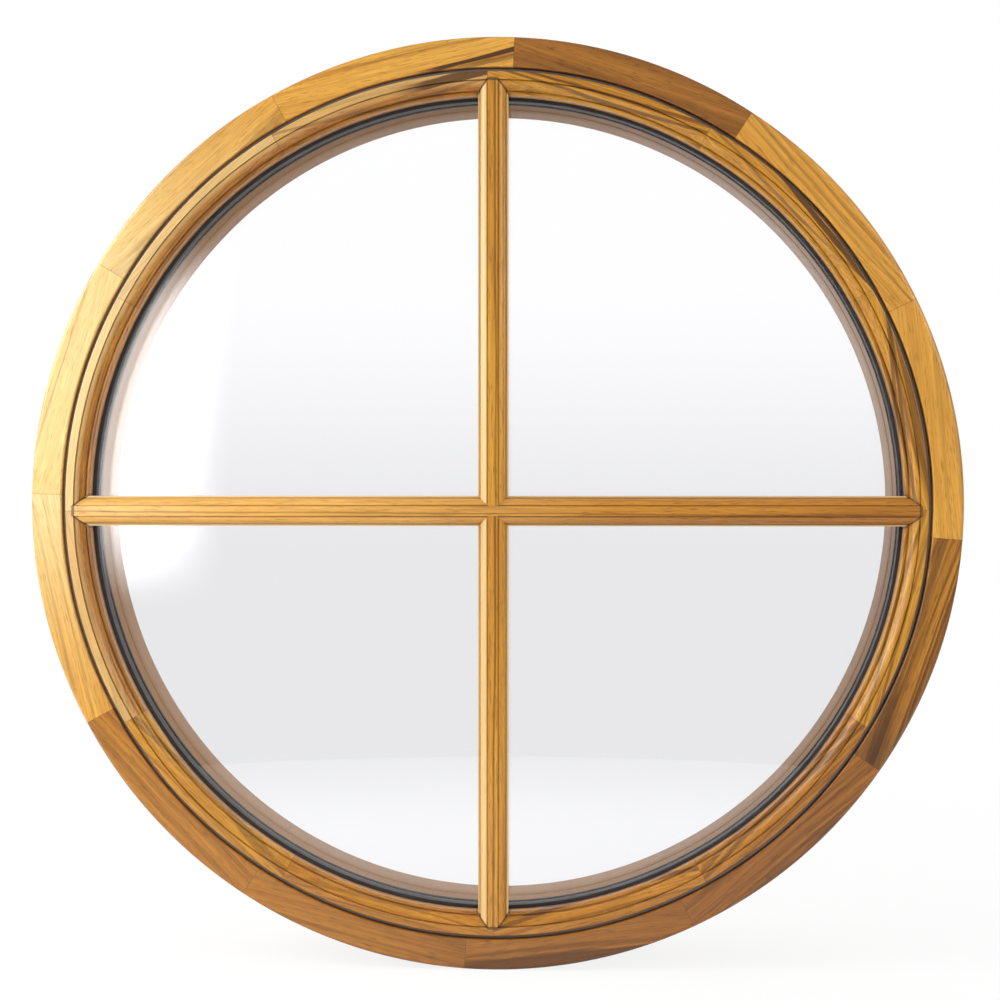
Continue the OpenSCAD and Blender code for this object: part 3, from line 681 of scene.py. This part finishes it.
def made(name, tree, keys, sizes, node_name):
    """The tree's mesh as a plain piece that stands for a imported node."""
    piece = bpy.data.objects.new(name, bpy.data.meshes.new(name))
    bpy.context.scene.collection.objects.link(piece)
    modifier = piece.modifiers.new(name, "NODES")
    modifier.node_group = tree
    for size, value in sizes.items():
        modifier[keys[size]] = float(value)
    shown = piece.evaluated_get(bpy.context.evaluated_depsgraph_get())
    mesh = bpy.data.meshes.new_from_object(shown)
    piece.modifiers.clear()
    piece.data = mesh
    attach(piece, "root")
    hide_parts(node_name)


# Radius of a screw's or a pin's very point
POINT_R = 0.05 * MM
# Faces around and along the two rods, and steps in each turn of the thread
SCREW_SIDES = 36
SCREW_RINGS = 100
THREAD_STEPS = 28
PIN_SIDES = 20
PIN_RINGS = 105
# Length of the hexagonal cutter that sinks a screw's socket
SOCKET_CUTTER = 4 * MM

# Six countersunk wood screws through the rear stop, with a thread, a point and a hexagonal socket.
# They point to the front, from the head's level in the plugged counterbores.
SCREW_SIZES = {
    "Length": SCREWS[1][1] - SCREWS[0][1],
    "Head Radius": 4 * MM,
    "Core Radius": 1.45 * MM,
    "Point Length": 4 * MM,
    "Thread Start": 18 * MM,
    "Thread Length": 28 * MM,
    "Thread Depth": 0.5 * MM,
    "Pitch": 1.8 * MM,
    "Socket Radius": 1.7 * MM,
    "Socket Depth": 1.8 * MM,
    "Ring Radius": 278.9 * MM,
    "First Turn": -math.radians(15.7),
    "Level": SCREWS[1][1],
}
POINTING_FRONT = (math.pi / 2, 0.0, 0.0)

# Twelve ring-shanked pins that hold the beads, each along a radius with its head just below the surface
PIN_SIZES = {
    "Length": 10.5 * MM,
    "Radius": 0.7 * MM,
    "Ring Pitch": 0.9 * MM,
    "Ring Depth": 0.14 * MM,
    "Head Length": 0.7 * MM,
    "Point Slope": 0.45,
    "Ring Radius": 268.9 * MM,
    "First Turn": -math.radians(10.7),
    "Level": (PINS[0][1] + PINS[1][1]) / 2,
}


def screw_core(tree, size):
    """A screw without its thread: a countersunk head, a shank and a point."""
    def radius_at(height):
        """The head's cone down to the core, cut off by the cone of the point."""
        head = add(tree, "ShaderNodeMath", {0: size["Head Radius"], 1: height},
                   operation="SUBTRACT").outputs[0]
        body = add(tree, "ShaderNodeMath", {0: head, 1: size["Core Radius"]},
                   operation="MAXIMUM").outputs[0]
        left = add(tree, "ShaderNodeMath", {0: size["Length"], 1: height}, operation="SUBTRACT").outputs[0]
        taper = add(tree, "ShaderNodeMath", {0: size["Core Radius"], 1: size["Point Length"]},
                    operation="DIVIDE").outputs[0]
        point = add(tree, "ShaderNodeMath", {0: left, 1: taper, 2: POINT_R},
                    operation="MULTIPLY_ADD").outputs[0]
        return add(tree, "ShaderNodeMath", {0: body, 1: point}, operation="MINIMUM").outputs[0]

    return turned_rod(tree, size["Length"], radius_at, SCREW_SIDES, SCREW_RINGS)


def screw_thread(tree, size):
    """A square ridge wound around the core."""
    turns = add(tree, "ShaderNodeMath", {0: size["Thread Length"], 1: size["Pitch"]},
                operation="DIVIDE").outputs[0]
    coil = add(tree, "GeometryNodeCurveSpiral", {
        "Resolution": THREAD_STEPS, "Rotations": turns, "Start Radius": size["Core Radius"],
        "End Radius": size["Core Radius"], "Height": size["Thread Length"],
    }).outputs[0]
    upright = add(tree, "GeometryNodeSetCurveNormal", {"Curve": coil}, mode="Z_UP").outputs[0]
    ridge = add(tree, "GeometryNodeCurvePrimitiveCircle", {"Resolution": 4, "Radius": size["Thread Depth"]})
    thread = add(tree, "GeometryNodeCurveToMesh", {
        "Curve": upright, "Profile Curve": ridge.outputs[0], "Fill Caps": True,
    }).outputs[0]
    lift = add(tree, "ShaderNodeCombineXYZ", {2: size["Thread Start"]}).outputs[0]
    return add(tree, "GeometryNodeTransform", {"Geometry": thread, "Translation": lift}).outputs[0]


def threaded_screw(tree, size):
    """A wood screw along Z with its head at the origin, and a hexagonal socket in its head."""
    joined = add(tree, "GeometryNodeMeshBoolean", {"Mesh 2": screw_core(tree, size)}, operation="UNION")
    tree.links.new(screw_thread(tree, size), joined.inputs["Mesh 2"])
    blank = add(tree, "GeometryNodeMeshCone", {
        "Vertices": 6, "Radius Top": size["Socket Radius"], "Radius Bottom": size["Socket Radius"],
        "Depth": SOCKET_CUTTER,
    }, fill_type="NGON").outputs["Mesh"]
    sink = add(tree, "ShaderNodeMath", {0: size["Socket Depth"], 1: SOCKET_CUTTER},
               operation="SUBTRACT").outputs[0]
    sunk = add(tree, "ShaderNodeCombineXYZ", {2: sink}).outputs[0]
    cutter = add(tree, "GeometryNodeTransform", {"Geometry": blank, "Translation": sunk}).outputs[0]
    return add(tree, "GeometryNodeMeshBoolean", {"Mesh 1": joined.outputs[0], "Mesh 2": cutter},
               operation="DIFFERENCE").outputs[0]


def ringed_pin(tree, size):
    """A pin along Z with its head at the origin, rings along its shank and a point."""
    def radius_at(height):
        """The shank, cut deeper through each ring below the head, and cut off by the cone of the point."""
        count = add(tree, "ShaderNodeMath", {0: height, 1: size["Ring Pitch"]},
                    operation="DIVIDE").outputs[0]
        step = add(tree, "ShaderNodeMath", {0: count}, operation="FRACT").outputs[0]
        below = add(tree, "ShaderNodeMath", {0: height, 1: size["Head Length"]},
                    operation="GREATER_THAN").outputs[0]
        cut = add(tree, "ShaderNodeMath", {0: step, 1: below}, operation="MULTIPLY").outputs[0]
        cut = add(tree, "ShaderNodeMath", {0: cut, 1: size["Ring Depth"]}, operation="MULTIPLY").outputs[0]
        shank = add(tree, "ShaderNodeMath", {0: size["Radius"], 1: cut}, operation="SUBTRACT").outputs[0]
        left = add(tree, "ShaderNodeMath", {0: size["Length"], 1: height}, operation="SUBTRACT").outputs[0]
        point = add(tree, "ShaderNodeMath", {0: left, 1: size["Point Slope"], 2: POINT_R},
                    operation="MULTIPLY_ADD").outputs[0]
        return add(tree, "ShaderNodeMath", {0: shank, 1: point}, operation="MINIMUM").outputs[0]

    return turned_rod(tree, size["Length"], radius_at, PIN_SIDES, PIN_RINGS)


tree, size, keys = size_tree("threaded_screws", SCREW_SIZES)
around_ring(tree, threaded_screw(tree, size), SCREW_COUNT, size, POINTING_FRONT,
            drawn_steel("turned_stainless_steel", "#c6c4c0", 0.3))
made("threaded_sash_screws", tree, keys, SCREW_SIZES, "sash_screws")

tree, size, keys = size_tree("ringed_pins", PIN_SIZES)
point_place = add(tree, "GeometryNodeInputPosition").outputs[0]
outward = add(tree, "ShaderNodeVectorMath", {0: point_place, 1: (1.0, 0.0, 1.0)},
              operation="MULTIPLY").outputs[0]
radial = add(tree, "FunctionNodeAlignRotationToVector", {"Vector": outward}, axis="Z").outputs[0]
around_ring(tree, ringed_pin(tree, size), PIN_COUNT, size, radial,
            drawn_steel("bright_drawn_steel", "#b9b8b6", 0.35))
made("ringed_bead_pins", tree, keys, PIN_SIZES, "bead_pins")


def sees_white(tree, path, rearward):
    """Whether a ray sees the white backdrop: from the camera, through glass, or mirrored to the rear."""
    direct = add(tree, "ShaderNodeMath", {0: path["Is Camera Ray"], 1: path["Is Transmission Ray"]},
                 operation="MAXIMUM").outputs[0]
    rear = add(tree, "ShaderNodeMath", {0: rearward, 1: 0.0}, operation="GREATER_THAN").outputs[0]
    mirrored = add(tree, "ShaderNodeMath", {0: path["Is Glossy Ray"], 1: rear},
                   operation="MULTIPLY").outputs[0]
    return add(tree, "ShaderNodeMath", {0: direct, 1: mirrored}, operation="MAXIMUM").outputs[0]


# Floor: a wide pale disc that fades into the white behind and keeps a soft shadow under the window
FLOOR_R = 0.9
FLOOR_SIDES = 96
# Its white takes over from the shadow between this radius and its edge, from this share to all of it
SHADOW_R = 0.35
SHADOW_WHITE = 0.86
# Through the glass, its level from this radius to its edge, where it meets the backdrop's level there
GLASS_FLOOR_R = 0.4
GLASS_FLOOR_LEVEL = (0.96, 0.87)


def floor_paint():
    """Matt pale paint that shows as white around the shadow."""
    material, tree, output = new_material("pale_floor")
    path = add(tree, "ShaderNodeLightPath").outputs
    place = add(tree, "ShaderNodeTexCoord").outputs["Object"]
    rearward = add(tree, "ShaderNodeSeparateXYZ", {0: place}).outputs[1]
    flat_place = add(tree, "ShaderNodeVectorMath", {0: place, 1: (1.0, 1.0, 0.0)},
                     operation="MULTIPLY").outputs[0]
    distance = add(tree, "ShaderNodeVectorMath", {0: flat_place}, operation="LENGTH").outputs[1]
    fade = add(tree, "ShaderNodeMapRange", {
        "Value": distance, "From Min": SHADOW_R, "From Max": FLOOR_R, "To Min": SHADOW_WHITE, "To Max": 1.0,
    }, interpolation_type="SMOOTHSTEP").outputs[0]
    share = add(tree, "ShaderNodeMath", {0: sees_white(tree, path, rearward), 1: fade},
                operation="MULTIPLY").outputs[0]
    far_level = add(tree, "ShaderNodeMapRange", {
        "Value": distance, "From Min": GLASS_FLOOR_R, "From Max": FLOOR_R,
        "To Min": GLASS_FLOOR_LEVEL[0], "To Max": GLASS_FLOOR_LEVEL[1],
    }, interpolation_type="SMOOTHSTEP").outputs[0]
    glow = add(tree, "ShaderNodeMix", {0: path["Is Transmission Ray"], 2: 1.0, 3: far_level}).outputs[0]
    matt = add(tree, "ShaderNodeBsdfDiffuse", {"Color": linear("#f4f4f4")})
    white = add(tree, "ShaderNodeEmission", {"Color": WHITE, "Strength": glow})
    mixed = add(tree, "ShaderNodeMixShader", {0: share, 1: matt.outputs[0], 2: white.outputs[0]})
    tree.links.new(mixed.outputs[0], output.inputs["Surface"])
    return material


floor_mesh = bpy.data.meshes.new("floor")
rim = [2 * math.pi * k / FLOOR_SIDES for k in range(FLOOR_SIDES)]
floor_mesh.from_pydata([(FLOOR_R * math.cos(t), FLOOR_R * math.sin(t), BOTTOM) for t in rim], [],
                       [list(range(FLOOR_SIDES))])
floor_mesh.materials.append(floor_paint())
floor = bpy.data.objects.new("floor", floor_mesh)
bpy.context.scene.collection.objects.link(floor)

# World: a white backdrop to the camera, through the glass and in what mirrors it, and in front of the
# window a dim room that is brighter above. Each pair of levels is the lower and the upper one, between
# two heights of a ray's direction.
ROOM_HEIGHTS = (-0.2, 0.5)
ROOM_LEVELS = (0.54, 0.82)
ROOM_SHEEN_LEVELS = (0.10, 0.16)
# The backdrop behind the glass is a little dimmer just below eye level and brighter above
GLASS_HEIGHTS = (-0.05, 0.12)
GLASS_LEVELS = (0.87, 1.07)
# In the wood's sheen it is dimmer, most of all below, with one bright patch behind at the left
SHEEN_HEIGHTS = (-0.2, 0.15)
SHEEN_LEVELS = (0.03, 0.33)
PATCH_WAY = (-0.2, 0.0, -0.1)
PATCH_EDGE = (0.05, 0.18)


def studio_world():
    """Backdrop and room light."""
    world = bpy.data.worlds.new("studio")
    world.use_nodes = True
    tree = world.node_tree
    tree.nodes.clear()
    path = add(tree, "ShaderNodeLightPath").outputs
    toward = add(tree, "ShaderNodeTexCoord").outputs["Generated"]
    _, rearward, height = add(tree, "ShaderNodeSeparateXYZ", {0: toward}).outputs
    climb = add(tree, "ShaderNodeMapRange", {
        "Value": height, "From Min": ROOM_HEIGHTS[0], "From Max": ROOM_HEIGHTS[1],
    }, interpolation_type="SMOOTHSTEP").outputs[0]
    soft, sheen = (add(tree, "ShaderNodeMapRange", {
        "Value": climb, "To Min": low, "To Max": high,
    }).outputs[0] for low, high in (ROOM_LEVELS, ROOM_SHEEN_LEVELS))
    room = add(tree, "ShaderNodeMix", {0: path["Is Glossy Ray"], 2: soft, 3: sheen}).outputs[0]

    behind, mirrored = (add(tree, "ShaderNodeMapRange", {
        "Value": height, "From Min": heights[0], "From Max": heights[1],
        "To Min": levels[0], "To Max": levels[1],
    }, interpolation_type="SMOOTHSTEP").outputs[0] for heights, levels in (
        (GLASS_HEIGHTS, GLASS_LEVELS), (SHEEN_HEIGHTS, SHEEN_LEVELS)))
    flat_way = add(tree, "ShaderNodeVectorMath", {0: toward, 1: (1.0, 0.0, 1.0)},
                   operation="MULTIPLY").outputs[0]
    patch_off = add(tree, "ShaderNodeVectorMath", {0: flat_way, 1: PATCH_WAY},
                    operation="DISTANCE").outputs[1]
    patch = add(tree, "ShaderNodeMapRange", {
        "Value": patch_off, "From Min": PATCH_EDGE[0], "From Max": PATCH_EDGE[1],
        "To Min": 1.0, "To Max": 0.0,
    }, interpolation_type="SMOOTHSTEP").outputs[0]
    mirrored = add(tree, "ShaderNodeMath", {0: mirrored, 1: patch}, operation="MAXIMUM").outputs[0]
    # A ray through the glass counts as mirrored too, so its level is mixed in last
    beyond = add(tree, "ShaderNodeMix", {0: path["Is Glossy Ray"], 2: 1.0, 3: mirrored}).outputs[0]
    beyond = add(tree, "ShaderNodeMix", {0: path["Is Transmission Ray"], 2: beyond, 3: behind}).outputs[0]
    level = add(tree, "ShaderNodeMix", {
        0: sees_white(tree, path, rearward), 2: room, 3: beyond,
    }).outputs[0]
    backdrop = add(tree, "ShaderNodeBackground", {"Color": WHITE, "Strength": level})
    output = tree.nodes.new("ShaderNodeOutputWorld")
    tree.links.new(backdrop.outputs[0], output.inputs["Surface"])
    return world


bpy.context.scene.world = studio_world()


def softbox(name, place, aim, side, watts, edge, lights=True):
    """A square softbox that the camera doesn't see, dimmed towards its edges over a share of its side.

    One that doesn't light is a card: only sheens and glass mirror it.
    """
    lamp = bpy.data.lights.new(name, "AREA")
    lamp.shape = "RECTANGLE"
    lamp.size = side
    lamp.size_y = side
    lamp.energy = watts
    lamp.use_nodes = True
    tree = lamp.node_tree
    tree.nodes.clear()
    across = add(tree, "ShaderNodeNewGeometry").outputs["Parametric"]
    centred = add(tree, "ShaderNodeVectorMath", {0: across, 1: (0.5, 0.5, 0.0)},
                  operation="SUBTRACT").outputs[0]
    off = add(tree, "ShaderNodeVectorMath", {0: centred}, operation="ABSOLUTE").outputs[0]
    ways = add(tree, "ShaderNodeSeparateXYZ", {0: off}).outputs
    strength = 1.0
    for way in ways[:2]:
        dim = add(tree, "ShaderNodeMapRange", {
            "Value": way, "From Min": 0.5 - edge, "From Max": 0.5, "To Min": 1.0, "To Max": 0.0,
        }, interpolation_type="SMOOTHSTEP").outputs[0]
        strength = add(tree, "ShaderNodeMath", {0: dim, 1: strength}, operation="MULTIPLY").outputs[0]
    glow = add(tree, "ShaderNodeEmission", {"Color": WHITE, "Strength": strength})
    output = tree.nodes.new("ShaderNodeOutputLight")
    tree.links.new(glow.outputs[0], output.inputs["Surface"])
    box = bpy.data.objects.new(name, lamp)
    box.location = place
    box.rotation_euler = (Vector(aim) - Vector(place)).to_track_quat("-Z", "Y").to_euler()
    box.visible_camera = False
    box.visible_diffuse = lights
    bpy.context.scene.collection.objects.link(box)


# Light from the left, a soft glow and its mirror image close at the left, and a fill from the right
MIDDLE_AIM = (0.0, FRONT, 0.0)
LEFT_AIM = (-0.2, FRONT, 0.0)
softbox("side_key", (-1.1, -0.34, 0.5), MIDDLE_AIM, side=0.9, watts=16.0, edge=0.1)
softbox("near_key", (-0.46, -0.5, 0.08), LEFT_AIM, side=0.4, watts=0.8, edge=0.25)
softbox("near_card", (-0.47, -0.52, 0.085), LEFT_AIM, side=0.4, watts=1.7, edge=0.25, lights=False)
softbox("right_fill", (1.3, -1.1, 0.6), MIDDLE_AIM, side=0.9, watts=12.0, edge=0.1)

# Camera at the photograph's viewing angle
CAMERA_AZIMUTH = math.radians(2.455)
CAMERA_ELEVATION = math.radians(0.595)
CAMERA_DISTANCE = 1.15
CAMERA_TARGET = Vector((4.8 * MM, FRONT, 2.92 * MM))
CAMERA_LENS = 63.46
CAMERA_SENSOR = 36.0
camera_data = bpy.data.cameras.new("camera")
camera_data.lens = CAMERA_LENS
camera_data.sensor_width = CAMERA_SENSOR
camera_data.clip_start = 10 * MM
camera = bpy.data.objects.new("camera", camera_data)
away = Vector((
    math.sin(CAMERA_AZIMUTH) * math.cos(CAMERA_ELEVATION),
    -math.cos(CAMERA_AZIMUTH) * math.cos(CAMERA_ELEVATION),
    math.sin(CAMERA_ELEVATION),
))
camera.location = CAMERA_TARGET + CAMERA_DISTANCE * away
camera.rotation_euler = (-away).to_track_quat("-Z", "Y").to_euler()
bpy.context.scene.collection.objects.link(camera)
bpy.context.scene.camera = camera
bpy.context.scene.view_settings.view_transform = "Standard"
